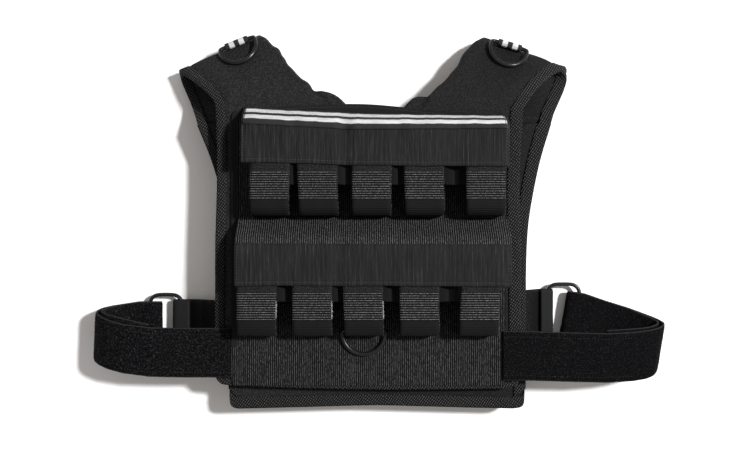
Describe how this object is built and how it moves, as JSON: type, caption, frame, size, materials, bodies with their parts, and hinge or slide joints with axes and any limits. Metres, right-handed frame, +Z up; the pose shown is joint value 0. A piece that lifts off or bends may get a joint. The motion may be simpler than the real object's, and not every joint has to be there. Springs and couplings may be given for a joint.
{
  "type": "weighted vest",
  "caption": "Padded training vest with pockets for iron bars, folded shoulder pads, side belts with rings, and D-rings, lying on its back.",
  "frame": {"origin": "middle of the footprint, on the surface that the vest lies on", "axes": "+X from the belt loop at one side to the other, +Y towards the shoulders, +Z up, away from the surface"},
  "size_m": [0.584, 0.3852, 0.0866],
  "materials": {
    "neoprene": "padded neoprene, matt",
    "twill_tape": "diagonal twill edge tape",
    "webbing": "ribbed webbing, slight sheen",
    "ribbed_cloth": "ribbed woven cloth",
    "nylon": "smooth nylon",
    "hook_and_loop": "fuzzy loop pile",
    "reflective_tape": "white reflective stripes on black",
    "black_metal": "glossy black",
    "iron": "black iron"
  },
  "bodies": {
    "vest": {"front_panel": "neoprene", "back_panel": "neoprene", "shoulder_pad_left": "neoprene", "shoulder_pad_right": "neoprene", "binding_front_left": "twill_tape", "binding_front_right": "twill_tape", "binding_front_bottom": "twill_tape", "binding_back_left": "twill_tape", "binding_back_right": "twill_tape", "binding_back_bottom": "twill_tape", "carrier": "ribbed_cloth", "flap_upper": "ribbed_cloth", "flap_lower": "ribbed_cloth", "weight_upper_1": "iron", "weight_loop_upper_1": "webbing", "weight_upper_2": "iron", "weight_loop_upper_2": "webbing", "weight_upper_3": "iron", "weight_loop_upper_3": "webbing", "weight_upper_4": "iron", "weight_loop_upper_4": "webbing", "weight_upper_5": "iron", "weight_loop_upper_5": "webbing", "pocket_band_upper": "nylon", "back_pocket_row_upper": "nylon", "weight_lower_1": "iron", "weight_loop_lower_1": "webbing", "weight_lower_2": "iron", "weight_loop_lower_2": "webbing", "weight_lower_3": "iron", "weight_loop_lower_3": "webbing", "weight_lower_4": "iron", "weight_loop_lower_4": "webbing", "weight_lower_5": "iron", "weight_loop_lower_5": "webbing", "pocket_band_lower": "nylon", "back_pocket_row_lower": "nylon", "flap_tape": "reflective_tape", "ring_tape_left": "reflective_tape", "ring_tape_right": "reflective_tape", "belt_ring_left": "black_metal", "belt_ring_right": "black_metal", "belt_left": "hook_and_loop", "belt_right": "hook_and_loop", "belt_tab_left": "nylon", "belt_tab_right": "nylon"},
    "shoulder_ring_left": {"shoulder_ring_left": "black_metal"},
    "shoulder_ring_right": {"shoulder_ring_right": "black_metal"},
    "chest_ring": {"chest_ring": "black_metal"}
  },
  "joints": [
    {"name": "shoulder_ring_left_swing", "type": "hinge", "parent": "vest", "child": "shoulder_ring_left", "pos_m": [-0.14489, 0.18151, 0.03043], "axis": [-0.9304, -0.3664, 0], "range_deg": [0, 150]},
    {"name": "shoulder_ring_right_swing", "type": "hinge", "parent": "vest", "child": "shoulder_ring_right", "pos_m": [0.13542, 0.17926, 0.0302], "axis": [-0.9585, 0.285, 0], "range_deg": [0, 150]},
    {"name": "chest_ring_swing", "type": "hinge", "parent": "vest", "child": "chest_ring", "pos_m": [-0.01438, -0.11044, 0.0585], "axis": [-1, 0, 0], "range_deg": [0, 50]}
  ]
}
